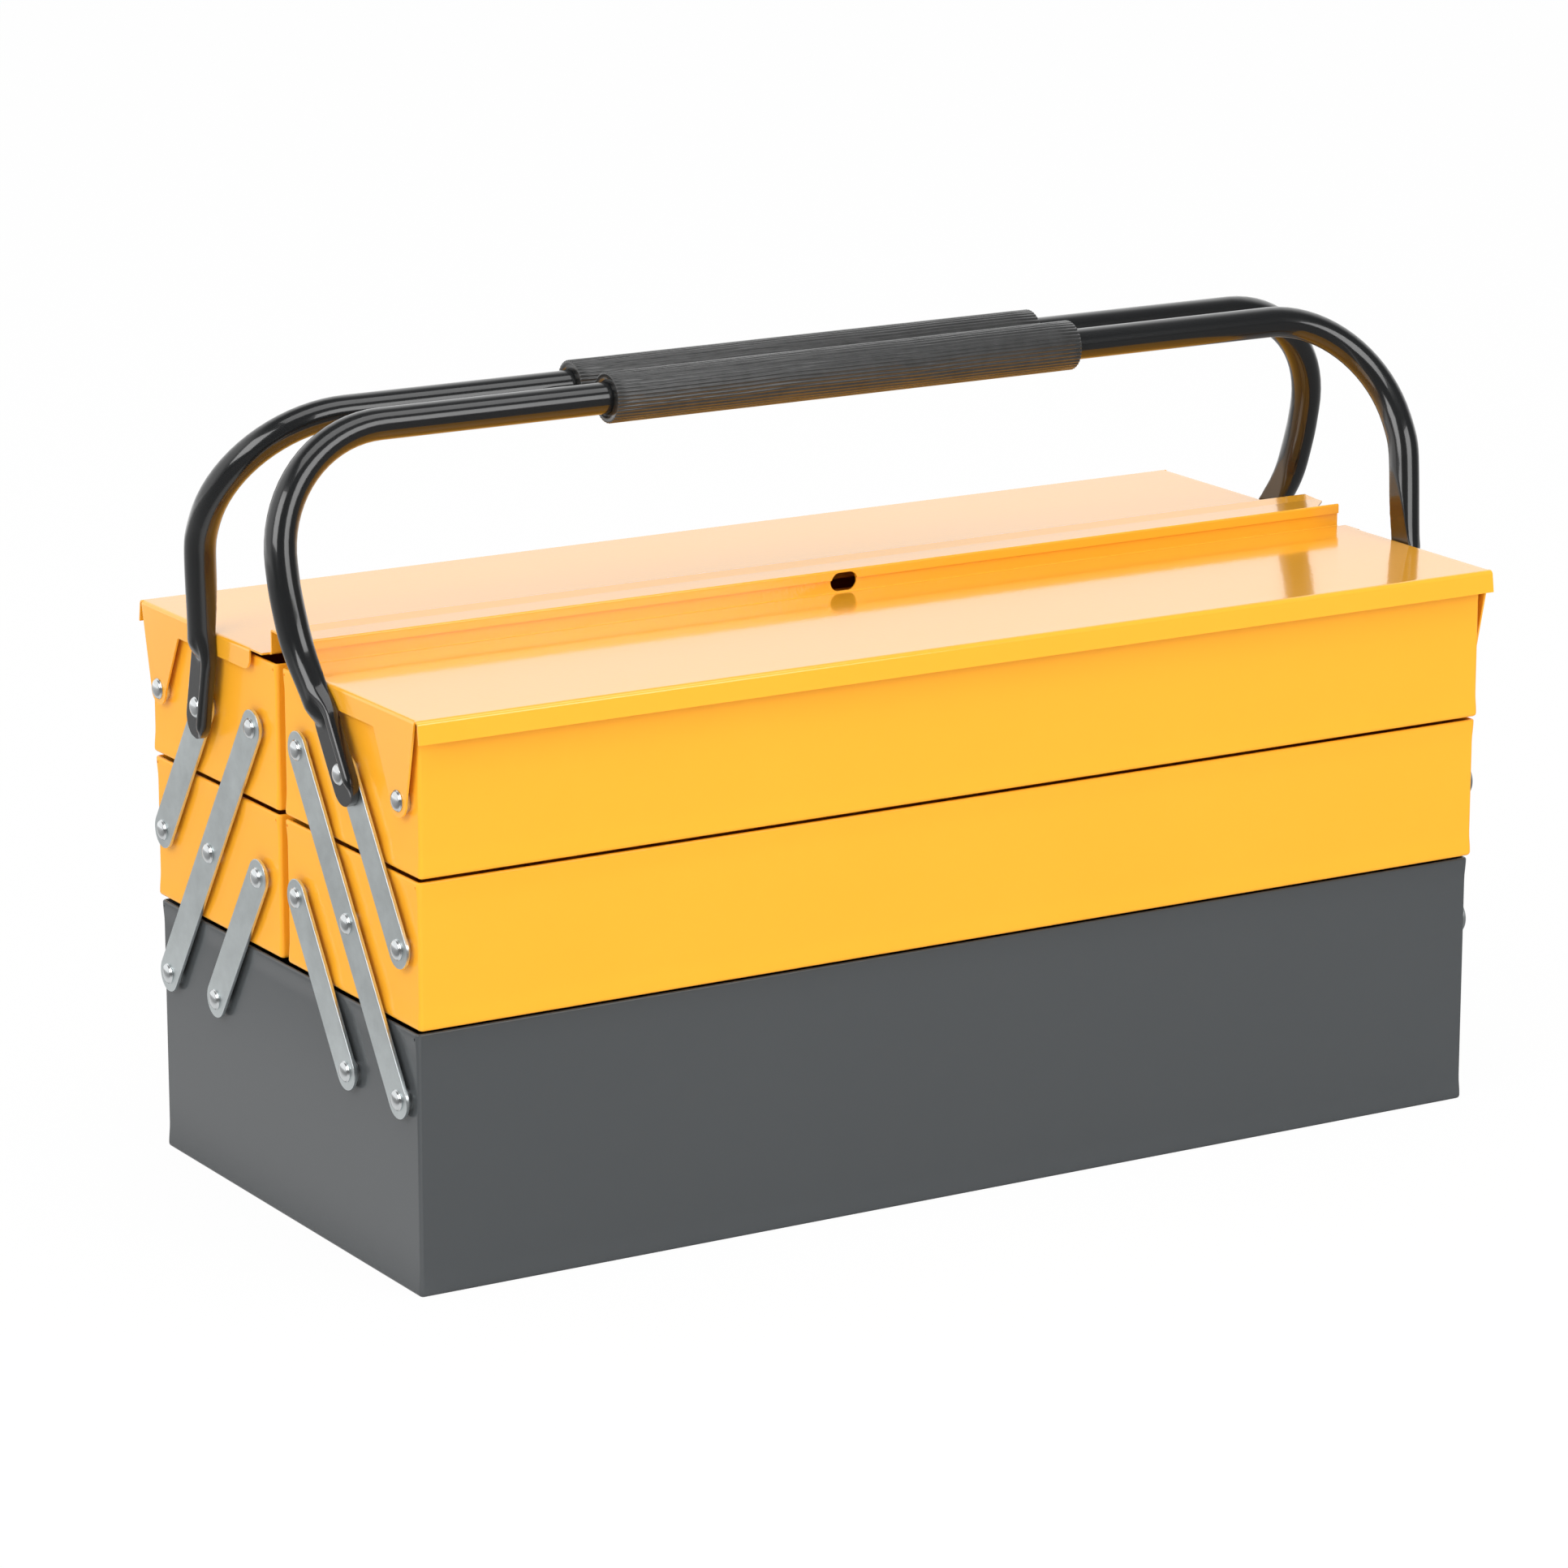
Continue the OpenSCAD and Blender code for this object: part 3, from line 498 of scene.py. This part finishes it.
def folded_lid(half):
    """One lid. The rear one is made as a front one and mirrored."""
    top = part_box(f"{half}_lid")[1].z - UPSTAND - SHEET / 2
    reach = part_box(f"{half}_lid")[1].x - SHEET / 2
    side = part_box("front_lid")[0].y + SHEET / 2
    low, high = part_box("front_lid_rivets")
    hinge = (low + high) / 2
    inner = -SETBACK[half]
    crest = top + UPSTAND
    bm = bmesh.new()

    # The sheet at the middle of its thickness, drawn from the side flange to the inner edge
    section = [(side, top + SHEET / 2 - FLANGE, 0), (side + FLANGE_FLARE, top, LID_FOLD),
               (inner, top, EDGE_BEND)]
    if half == "front":
        section += [(inner, crest, HEM_BEND), (inner - HEM_GAP, crest, HEM_BEND),
                    (inner - HEM_GAP, crest + SHEET / 2 - HEM, 0)]
    else:
        lip = SETBACK["front"] - SHEET / 2 - LIP_GAP
        section += [(inner, crest, EDGE_BEND), (inner + LIP_SLOPE, crest - LIP_FALL, EDGE_BEND),
                    (lip, crest - LIP_FALL, 0)]
    start = -reach + END_BEND
    wire = bent_wire(bm, [((start, y, z), radius) for y, z, radius in section])
    drawn_on(bm, wire, (-2 * start, 0, 0))

    # The inner edge is shorter than the plate, and the lip's corners are cut off
    plate_end = inner - LID_FOLD
    flange_end = plate_end - 2 * FLANGE_CORNER
    flange_start = side + FLANGE_FLARE + SHEET / 2 + LID_FOLD
    upstand_end = reach + SHEET / 2 - UPSTAND_INSET
    for y in (plate_end, flange_end, flange_start):
        cut_across(bm, (0, y, 0), (0, 1, 0))
    for x in (upstand_end, -upstand_end):
        cut_across(bm, (x, 0, 0), (1, 0, 0))
    middles = {f: f.calc_center_median() for f in bm.faces}
    spare = [f for f, m in middles.items() if abs(m.x) > upstand_end and m.y > plate_end]
    bmesh.ops.delete(bm, geom=spare, context="FACES")
    if half == "rear":
        for end in (-1, 1):
            behind_edge = [f for f in bm.faces if f.calc_center_median().y > inner + 0.5 * MM]
            chamfer = [(Vector((end * upstand_end, lip - LIP_CHAMFER, 0)), Vector((-end, -1, 0)))]
            bmesh.ops.delete(bm, geom=cut_outline(bm, behind_edge, chamfer), context="FACES")

    # Padlock slot through the standing edge
    middles = {f: f.calc_center_median() for f in bm.faces}
    upright = [f for f, m in middles.items() if abs(f.normal.y) > 0.95 and f.calc_area() > 100 * MM * MM
               and m.z > top + 2 * MM and abs(m.y - inner) < 1.2 * MM]
    middle = Vector((0, inner, top + SHEET / 2 + SLOT_FOOT + SLOT_HEIGHT / 2))
    half_length = (SLOT_LENGTH - SLOT_HEIGHT) / 2
    slot = round_outline(middle, Vector((1, 0, 0)), half_length, SLOT_HEIGHT / 2, SLOT_SIDES)
    for face in upright:
        bmesh.ops.delete(bm, geom=cut_outline(bm, [face], slot), context="FACES")

    # The ends are bent down between the flange's corners, and left straight beyond them
    for end in (-1, 1):
        x_fold = end * (reach - END_BEND)
        rim = [e for e in bm.edges if e.is_boundary and all(abs(v.co.x - x_fold) < NEAR for v in e.verts)]
        bend = [e for e in rim if all(flange_start - NEAR < v.co.y < flange_end + NEAR for v in e.verts)]
        drawn_on(bm, [e for e in rim if e not in bend], (end * END_BEND, 0, 0))
        bent_on(bm, bend, (x_fold, 0, top - END_BEND), (0, end, 0), pi / 2, END_BEND_STEPS)
        ear(bm, hinge, end * reach, top, flange_start, flange_end)

    if half == "rear":
        bmesh.ops.scale(bm, vec=(1, -1, 1), verts=bm.verts)
    bmesh.ops.recalc_face_normals(bm, faces=bm.faces)
    return finish_piece(f"{half}_folded_lid", bm, lid_amber, f"{half}_lid", "lid_paint", f"{half}_lid",
                        edge=0.12 * MM, angle=35, sheet=SHEET)


lid_amber = enamel("amber lid coat", (1.0, 0.45, 0.026), roughness=0.2, specular=0.5,
                   coat=1.0, coat_roughness=0.05, peel=0.5)
for half in ("front", "rear"):
    folded_lid(half)

# Handles.
# Each is one steel tube bent into a bow and painted gloss black. Its ends are pressed flat with a
# ridge along one edge and riveted to the upper tray. One leg stands in line with its link and the
# other steeper, and the rear handle is the same piece half a turn round.
TUBE = 12.7 * MM
TOP_BEND = 49 * MM
KNEE_BEND = 46 * MM
LOW_KNEE = 52 * MM
HIGH_KNEE = 75 * MM
STEEP_LEAN = radians(13)
STRAIGHT_LEG = 50 * MM
STANCE_LOW, STANCE_RUN, FLAT_STANCE = 22 * MM, 53 * MM, 4.5 * MM
FLAT_WIDTH = 17.5 * MM
FLAT_SHIFT = 0.4 * MM
FLAT_FACES = (3 * MM, 6 * MM)
FLAT_ROUNDING = -4.25 * MM
FLAT_TO_ROUND = (21 * MM, 36 * MM)
EDGE_SHARE, EDGE_POWER = 0.36, 0.6
SHOULDER, SHOULDER_SAG, SHOULDER_RUN = 20.5 * MM, 3 * MM, 9 * MM
SHOULDER_MIDDLE, SHOULDER_REACH, SHOULDER_POWER = -1 * MM, 6 * MM, 1.8
RIDGE_TOP = 8.6 * MM
RIDGE_WIDTH = 4.6 * MM
RIDGE_SIDE = (3.4 * MM, 4.6 * MM)
RIDGE_TAIL = (-12 * MM, -5 * MM)
RIDGE_TO_ROUND = (18 * MM, 34 * MM)
TOP_BEND_STEPS, KNEE_STEPS = 18, 6
LEG_ROWS, LOWER_LEG_ROWS = 6, 8


def axis_off(d, standoff):
    """Distance of the leg's axis off the wall, at a distance d above its rivet."""
    t = min(max((d - STANCE_LOW) / STANCE_RUN, 0), 1)
    return FLAT_STANCE + (standoff - FLAT_STANCE) * (0.6 * t + 0.4 * eased(t, 0, 1))


def pressed_section(d, theta, standoff):
    """A point of the pressed end, at a distance d above its rivet and an angle round the tube.

    Gives its distance from the leg's axis towards the ridge, and its distance off the wall."""
    across, outward = cos(theta), sin(theta)
    width = FLAT_WIDTH / 2
    if d < FLAT_ROUNDING:
        width *= sqrt(max(1 - ((FLAT_ROUNDING - d) / (FLAT_WIDTH / 2)) ** 2, 0.01))
    flat_across = FLAT_SHIFT + width * across
    flat_low, flat_high = FLAT_FACES
    half_thick = (flat_high - flat_low) / 2 * min(abs(outward) / EDGE_SHARE, 1) ** EDGE_POWER
    flat_off = (flat_low + flat_high) / 2
    if outward < 0:
        flat_off -= half_thick
        blend = eased(d, *FLAT_TO_ROUND)
    else:
        # The outer face has the ridge, and a crisp shoulder where the flat turns into the tube
        ridge_middle = FLAT_SHIFT + FLAT_WIDTH / 2 - RIDGE_WIDTH / 2
        off_ridge = (flat_across - ridge_middle) / (RIDGE_WIDTH / 2)
        swell = sqrt(max(1 - off_ridge ** 2, 0)) * eased(d, *RIDGE_TAIL)
        flat_off += half_thick + (RIDGE_TOP - flat_high) * swell
        shoulder = SHOULDER + SHOULDER_SAG * ((flat_across - SHOULDER_MIDDLE) / SHOULDER_REACH) ** 2
        rise = 1 - min(max((d - shoulder) / SHOULDER_RUN, 0), 1)
        on_ridge = eased(flat_across, *RIDGE_SIDE)
        blend = (1 - rise ** SHOULDER_POWER) * (1 - on_ridge) + eased(d, *RIDGE_TO_ROUND) * on_ridge
    round_across = TUBE / 2 * across
    round_off = max(axis_off(d, standoff) + TUBE / 2 * outward, flat_low)
    return (flat_across + (round_across - flat_across) * eased(d, *FLAT_TO_ROUND),
            flat_off + (round_off - flat_off) * blend)


def handle_half(bm, ring, bar, pivot, leg_x, wall, side, lean, knee_distance):
    """Half of the bow, from the middle of the bar to the pressed end at one side of the box."""
    along = Vector((0, sin(lean), cos(lean)))
    knee = pivot + along * knee_distance
    to_bar = Vector((0, bar.y - knee.y, bar.z - knee.z))
    up = to_bar.normalized()
    turn = along.angle(up)
    tangent = KNEE_BEND * tan(turn / 2)
    bar_verts = set(bm.verts)
    ring = drawn_on(bm, ring, (side * (leg_x - TOP_BEND), 0, 0))
    centre = Vector((side * (leg_x - TOP_BEND), bar.y, bar.z)) - up * TOP_BEND
    ring = bent_on(bm, ring, centre, up.cross(Vector((side, 0, 0))), pi / 2, TOP_BEND_STEPS)
    for _ in range(LEG_ROWS):
        ring = drawn_on(bm, ring, -up * (to_bar.length - TOP_BEND - tangent) / LEG_ROWS)
    start = Vector((side * leg_x, knee.y, knee.z)) + up * tangent
    inward = (up * along.dot(up) - along).normalized()
    ring = bent_on(bm, ring, start + inward * KNEE_BEND, inward.cross(up), turn, KNEE_STEPS)
    below_knee = knee_distance - tangent
    for _ in range(LOWER_LEG_ROWS if below_knee > STRAIGHT_LEG + 5 * MM else 0):
        ring = drawn_on(bm, ring, -along * (below_knee - STRAIGHT_LEG) / LOWER_LEG_ROWS)

    # The leg comes in towards the wall on its way down, and its inner side is pressed flat
    angle = {}
    across = Vector((0, cos(lean), -sin(lean))) * side
    for v in {v for e in ring for v in e.verts}:
        off = v.co - (pivot + along * (v.co - pivot).dot(along))
        angle[v] = atan2((off.x * side - leg_x) / TUBE, off.dot(across) / TUBE)
    standoff = leg_x - wall
    for v in [v for v in bm.verts if v not in bar_verts and v.co.x * side > leg_x - TUBE]:
        shift = standoff - axis_off((v.co - pivot).dot(along), standoff)
        if shift > 0:
            off_wall = v.co.x * side - wall
            v.co.x = side * (wall + max(off_wall - shift, min(FLAT_FACES[0], off_wall)))

    # Pressed end, ring by ring down the leg. The front handle's ridge is on the front edge of its
    # left leg and on the back edge of its right leg
    out = Vector((side, 0, 0))
    stops = [48, 45, 42, 39, 37, *range(35, 19, -1), 18, 15, 10, 6, 2, -2, -4.25,
             -6, -7.6, -9, -10.2, -11.2, -12, -12.5, -12.8]
    for stop in [s * MM for s in stops if s * MM < below_knee - 0.5 * MM]:
        old_verts = {v for e in ring for v in e.verts}
        ring = drawn_on(bm, ring, (0, 0, 0))
        new_verts = {v for e in ring for v in e.verts}
        for new in new_verts:
            old = next(e.other_vert(new) for e in new.link_edges if e.other_vert(new) in old_verts)
            angle[new] = angle[old]
        for new in new_verts:
            sideways, off_wall = pressed_section(stop, angle[new], standoff)
            new.co = pivot + along * stop + across * sideways + out * (wall + off_wall)
    bmesh.ops.contextual_create(bm, geom=ring)


def handle(half):
    low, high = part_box(f"{half}_grip")
    bar = (low + high) / 2
    pivot = link_ends(f"{half}_right_handle_link")[1]
    if half == "rear":
        bar.y, pivot.y = -bar.y, -pivot.y
    leg_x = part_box(f"{half}_handle")[1].x - TUBE / 2 - 0.1 * MM
    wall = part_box("base_tray")[1].x
    link_foot, link_top = link_ends("front_right_handle_link")
    link_lean = atan2(link_top.y - link_foot.y, link_top.z - link_foot.z)
    bm = bmesh.new()
    bmesh.ops.create_circle(bm, cap_ends=False, segments=56, radius=TUBE / 2,
                            matrix=Matrix.Translation(bar) @ Matrix.Rotation(pi / 2, 4, "Y"))
    ring = bm.edges[:]
    handle_half(bm, ring, bar, pivot, leg_x, wall, -1, link_lean, LOW_KNEE)
    handle_half(bm, ring, bar, pivot, leg_x, wall, 1, STEEP_LEAN, HIGH_KNEE)
    if half == "rear":
        bmesh.ops.rotate(bm, cent=(0, 0, 0), matrix=Matrix.Rotation(pi, 3, "Z"), verts=bm.verts)
    bmesh.ops.recalc_face_normals(bm, faces=bm.faces)
    return finish_piece(f"{half}_handle_tube", bm, gloss_black, f"{half}_handle", "handle_paint",
                        f"{half}_handle", edge=0)


gloss_black = enamel("gloss black paint", (0.008, 0.0088, 0.0095), roughness=0.2, specular=0.5,
                     coat=0.8, coat_roughness=0.04, peel=0.12, peel_scale=260)
for half in ("front", "rear"):
    handle(half)

# Grips.
# A black rubber sleeve is pushed over the middle of each handle. It is ribbed lengthwise and cut
# square at its ends.
RIBS = 38
RIB_DEPTH = 0.5 * MM
GRIP_BORE = TUBE + 0.1 * MM
GRIP_END = 0.3 * MM
FACE_STEP = 0.4 * MM
RIB_GROOVE = 2.08
SLEEVE_STEPS = 22


def rubber(name):
    """Black rubber with a satin skin and a faint dusty bloom."""
    black, tree, shader = new_finish(name)
    dust = speckle(tree, scale=160, detail=5)
    tinted(tree, shader, dust, (0.022, 0.0225, 0.0225), (0.05, 0.051, 0.051))
    shader.inputs["Roughness"].default_value = 0.24
    shader.inputs["Coat Weight"].default_value = 0.6
    shader.inputs["Coat Roughness"].default_value = 0.16
    uneven_skin(tree, shader, dust, 0.07)
    return black


def plain_ring(bm, ring, axis, radius):
    """Draws the sleeve on to a round ring about a place on its axis."""
    ring = drawn_on(bm, ring, (0, 0, 0))
    for v in {v for e in ring for v in e.verts}:
        around = Vector((0, v.co.y - axis.y, v.co.z - axis.z)).normalized()
        v.co = axis + around * radius
    return ring


def grip(half):
    low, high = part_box(f"{half}_grip")
    centre = (low + high) / 2
    left, right = Vector((low.x, centre.y, centre.z)), Vector((high.x, centre.y, centre.z))
    length = high.x - low.x
    core = (high.z - low.z) / 2 - RIB_DEPTH
    bm = bmesh.new()
    bmesh.ops.create_circle(bm, cap_ends=False, segments=RIBS * 8, radius=GRIP_BORE / 2,
                            matrix=Matrix.Translation(left) @ Matrix.Rotation(pi / 2, 4, "Y"))
    ring = plain_ring(bm, bm.edges[:], left, core - FACE_STEP)

    # Ribbed outside, a little uneven along its length, with its end edges rounded
    inner_steps = [length * i / SLEEVE_STEPS for i in range(1, SLEEVE_STEPS)]
    distances = [0, GRIP_END] + inner_steps + [length - GRIP_END, length]
    for distance in distances:
        ring = drawn_on(bm, ring, (0, 0, 0))
        at_end = distance in (0, length)
        sway = 0 if at_end else 0.02 * sin(distance / (17 * MM)) + 0.01 * sin(distance / (7 * MM))
        for v in {v for e in ring for v in e.verts}:
            around = atan2(v.co.z - centre.z, v.co.y - centre.y)
            phase = (around * RIBS / (2 * pi)) % 1 - 0.5
            radius = core + RIB_DEPTH * sqrt(max(1 - (phase * RIB_GROOVE) ** 2, 0)) - at_end * GRIP_END
            spread = around + sway
            v.co = Vector((low.x + distance, centre.y + radius * cos(spread),
                           centre.z + radius * sin(spread)))

    # Flat end face and bore
    for radius in (core - FACE_STEP, GRIP_BORE / 2):
        ring = plain_ring(bm, ring, right, radius)
    first = [e for e in bm.edges if e.is_boundary and e.verts[0].co.x < 0]
    bmesh.ops.bridge_loops(bm, edges=ring + first)
    bmesh.ops.recalc_face_normals(bm, faces=bm.faces)
    return finish_piece(f"{half}_ribbed_sleeve", bm, grip_rubber, f"{half}_handle", "grip_rubber",
                        f"{half}_grip", edge=0)


grip_rubber = rubber("ribbed grip rubber")
for half in ("front", "rear"):
    grip(half)

# Studio.
# A pale floor and a white surround, with soft lamps, and the camera in front of the left end. What
# the floor and the surround show in gloss is darker in front of the box than behind it.
FLOOR_WHITE = 0.85
FLOOR_SEEN = 0.965
FLOOR_GLOSS = 1.2
SURROUND_GLOW = 0.85
SURROUND_GREY = 0.8
SURROUND_GLOSS = (0.14, 1.2)


def ranged(tree, value, start, end, low=0, high=1, smooth=True):
    """Takes a value from low at the start to high at the end."""
    node = tree.nodes.new("ShaderNodeMapRange")
    node.interpolation_type = "SMOOTHSTEP" if smooth else "LINEAR"
    for name, number in (("From Min", start), ("From Max", end), ("To Min", low), ("To Max", high)):
        node.inputs[name].default_value = number
    tree.links.new(value, node.inputs["Value"])
    return node.outputs["Result"]


def combined(tree, operation, first, second):
    node = tree.nodes.new("ShaderNodeMath")
    node.operation = operation
    tree.links.new(first, node.inputs[0])
    tree.links.new(second, node.inputs[1])
    return node.outputs[0]


def mixed(tree, share, first, second):
    node = tree.nodes.new("ShaderNodeMixShader")
    for source, socket in zip((share, first, second), node.inputs):
        tree.links.new(source, socket)
    return node.outputs[0]


def plain_light(tree, kind, strength, level=1):
    """A light of one grey level, which is 1 for white."""
    node = tree.nodes.new(kind)
    node.inputs["Color"].default_value = (level, level, level, 1)
    node.inputs["Strength"].default_value = strength
    return node


floor_mesh = bmesh.new()
bmesh.ops.create_grid(floor_mesh, x_segments=1, y_segments=1, size=6)
mesh = bpy.data.meshes.new("studio_floor")
floor_mesh.to_mesh(mesh)
floor_mesh.free()
floor = bpy.data.objects.new("studio_floor", mesh)
bpy.context.scene.collection.objects.link(floor)

pale = bpy.data.materials.new("pale studio floor")
pale.use_nodes = True
tree = pale.node_tree
tree.nodes.clear()
place = tree.nodes.new("ShaderNodeTexCoord")
axes = tree.nodes.new("ShaderNodeSeparateXYZ")
tree.links.new(place.outputs["Object"], axes.inputs[0])
fade = tree.nodes.new("ShaderNodeValToRGB")
fade.color_ramp.interpolation = "EASE"
fade.color_ramp.elements[0].color = (0.15, 0.15, 0.15, 1)
fade.color_ramp.elements[1].color = (1, 1, 1, 1)
fade.color_ramp.elements.new(0.5).color = (0.36, 0.36, 0.36, 1)
tree.links.new(ranged(tree, axes.outputs["Y"], -0.4, 2, smooth=False), fade.inputs["Fac"])

# A brighter strip of floor beside the left end, which only gloss shows: a painted reflection in the
# pieces at that end
strip = combined(tree, "MULTIPLY", ranged(tree, axes.outputs["X"], -0.52, -0.32, high=0.6),
                 ranged(tree, axes.outputs["X"], -0.2, -0.28))
in_gloss = plain_light(tree, "ShaderNodeEmission", FLOOR_GLOSS)
tree.links.new(combined(tree, "MAXIMUM", strip, fade.outputs["Color"]), in_gloss.inputs["Color"])
matt = tree.nodes.new("ShaderNodeBsdfDiffuse")
matt.inputs["Color"].default_value = (FLOOR_WHITE, FLOOR_WHITE, FLOOR_WHITE, 1)
to_camera = plain_light(tree, "ShaderNodeEmission", 1)
share = tree.nodes.new("ShaderNodeMath")
share.operation = "MULTIPLY"
share.inputs[1].default_value = FLOOR_SEEN
ray = tree.nodes.new("ShaderNodeLightPath")
tree.links.new(ray.outputs["Is Camera Ray"], share.inputs[0])
lit_floor = mixed(tree, ray.outputs["Is Glossy Ray"], matt.outputs[0], in_gloss.outputs[0])
out = tree.nodes.new("ShaderNodeOutputMaterial")
tree.links.new(mixed(tree, share.outputs[0], lit_floor, to_camera.outputs[0]), out.inputs["Surface"])
mesh.materials.append(pale)

world = bpy.data.worlds.new("white surround")
bpy.context.scene.world = world
world.use_nodes = True
tree = world.node_tree
tree.nodes.clear()
place = tree.nodes.new("ShaderNodeTexCoord")
axes = tree.nodes.new("ShaderNodeSeparateXYZ")
tree.links.new(place.outputs["Generated"], axes.inputs[0])
back_wall = combined(tree, "MULTIPLY", ranged(tree, axes.outputs["Y"], -0.25, 0.35),
                     ranged(tree, axes.outputs["Z"], 0.9, 0.6))
in_gloss = plain_light(tree, "ShaderNodeBackground", 1, SURROUND_GREY)
tree.links.new(ranged(tree, back_wall, 0, 1, *SURROUND_GLOSS, smooth=False), in_gloss.inputs["Strength"])
on_pieces = plain_light(tree, "ShaderNodeBackground", SURROUND_GLOW)
to_camera = plain_light(tree, "ShaderNodeBackground", 1)
ray = tree.nodes.new("ShaderNodeLightPath")
lit_surround = mixed(tree, ray.outputs["Is Glossy Ray"], on_pieces.outputs[0], in_gloss.outputs[0])
out = tree.nodes.new("ShaderNodeOutputWorld")
tree.links.new(mixed(tree, ray.outputs["Is Camera Ray"], lit_surround, to_camera.outputs[0]),
               out.inputs["Surface"])


def soft_lamp(name, place, aim, size, power):
    light = bpy.data.lights.new(name, "AREA")
    light.shape = "RECTANGLE"
    light.size, light.size_y = size
    light.energy = power
    lamp = bpy.data.objects.new(name, light)
    lamp.location = place
    lamp.rotation_euler = (Vector(aim) - Vector(place)).to_track_quat("-Z", "Y").to_euler()
    bpy.context.scene.collection.objects.link(lamp)


soft_lamp("left_softbox", (-2.2, -0.8, 1.5), (0, 0, 0.15), (1.4, 1.4), 22)
soft_lamp("front_softbox", (0.6, -2.4, 1.3), (0, 0, 0.15), (1.6, 1.2), 19)
soft_lamp("overhead_softbox", (0, -0.6, 2.3), (0, 0, 0.2), (2.4, 1.2), 15)
eye = bpy.data.cameras.new("eye")
eye.lens = 144.5
eye.sensor_width = 36
camera = bpy.data.objects.new("eye", eye)
camera.location = (-1.3037, -2.1347, 0.7972)
camera.rotation_euler = (radians(75.39), 0, radians(-31.05))
bpy.context.scene.collection.objects.link(camera)
bpy.context.scene.camera = camera
bpy.context.scene.view_settings.view_transform = "Standard"
